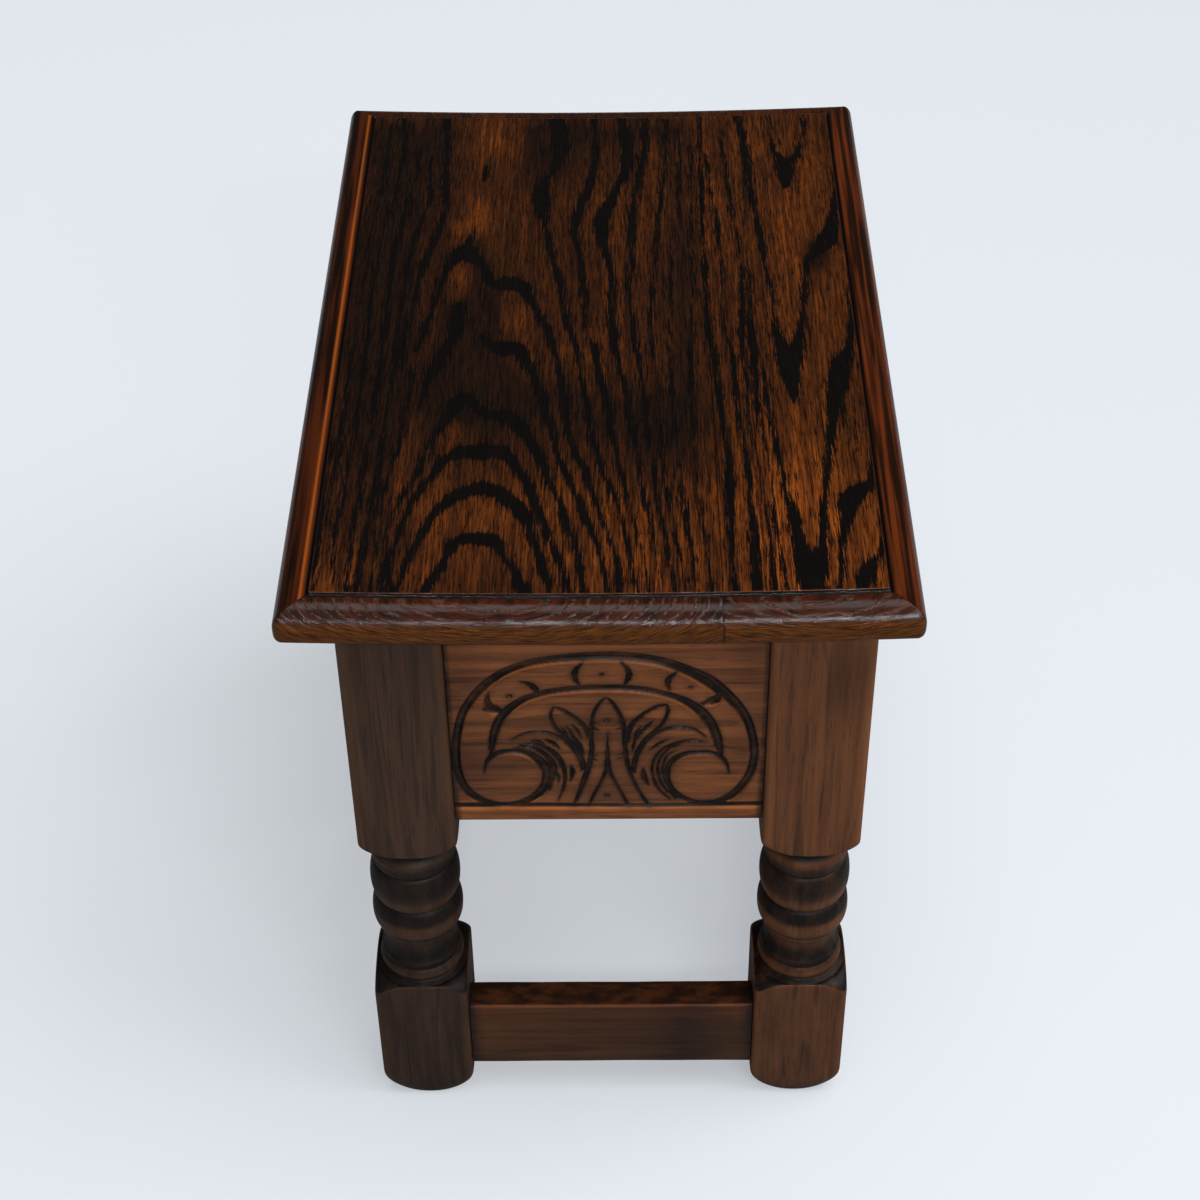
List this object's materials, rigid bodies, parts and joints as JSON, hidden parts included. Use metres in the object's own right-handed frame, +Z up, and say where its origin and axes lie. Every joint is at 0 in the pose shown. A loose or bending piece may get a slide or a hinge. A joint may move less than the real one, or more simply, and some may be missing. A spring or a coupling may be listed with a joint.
{
  "type": "slipper box footstool",
  "caption": "Carved oak footstool on turned legs joined by low stretchers, with a moulded hinged lid that opens onto a shallow box for slippers.",
  "frame": {"origin": "on the floor under the middle of the lid", "axes": "+X along the box's length, +Y to the hinged back, +Z up"},
  "size_m": [0.46, 0.3, 0.389],
  "materials": {
    "lid_oak": "polished, dark stained, strongly figured",
    "frame_oak": "satin wax over dark stain",
    "carved_oak": "satin wax over dark stain, darker in the carving",
    "inside_oak": "unfinished, dry",
    "aged_brass": "aged",
    "dark_steel": "dull"
  },
  "bodies": {
    "frame": {"leg_front_left": "frame_oak", "leg_front_right": "frame_oak", "leg_back_left": "frame_oak", "leg_back_right": "frame_oak", "rail_front": "carved_oak", "rail_right_end": "carved_oak", "rail_back": "carved_oak", "rail_left_end": "carved_oak", "stretcher_front": "frame_oak", "stretcher_right_end": "frame_oak", "stretcher_back": "frame_oak", "stretcher_left_end": "frame_oak", "bottom_board_front": "inside_oak", "bottom_board_back": "inside_oak", "batten_front": "inside_oak", "batten_screw_front_1": "dark_steel", "batten_screw_front_2": "dark_steel", "batten_right_end": "inside_oak", "batten_screw_right_end_1": "dark_steel", "batten_screw_right_end_2": "dark_steel", "batten_back": "inside_oak", "batten_screw_back_1": "dark_steel", "batten_screw_back_2": "dark_steel", "batten_left_end": "inside_oak", "batten_screw_left_end_1": "dark_steel", "batten_screw_left_end_2": "dark_steel", "hinge_left_frame_leaf": "aged_brass", "hinge_left_pin": "aged_brass", "hinge_left_frame_screw_1": "aged_brass", "hinge_left_frame_screw_2": "aged_brass", "hinge_left_frame_screw_3": "aged_brass", "hinge_right_frame_leaf": "aged_brass", "hinge_right_pin": "aged_brass", "hinge_right_frame_screw_1": "aged_brass", "hinge_right_frame_screw_2": "aged_brass", "hinge_right_frame_screw_3": "aged_brass"},
    "lid": {"lid_board_front": "lid_oak", "lid_board_back": "lid_oak", "hinge_left_lid_leaf": "aged_brass", "hinge_left_lid_screw_1": "aged_brass", "hinge_left_lid_screw_2": "aged_brass", "hinge_left_lid_screw_3": "aged_brass", "hinge_right_lid_leaf": "aged_brass", "hinge_right_lid_screw_1": "aged_brass", "hinge_right_lid_screw_2": "aged_brass", "hinge_right_lid_screw_3": "aged_brass"}
  },
  "joints": [
    {"name": "lid_hinge", "type": "hinge", "parent": "frame", "child": "lid", "pos_m": [0, 0.131, 0.36815], "axis": [-1, 0, 0], "range_deg": [0, 92]}
  ]
}
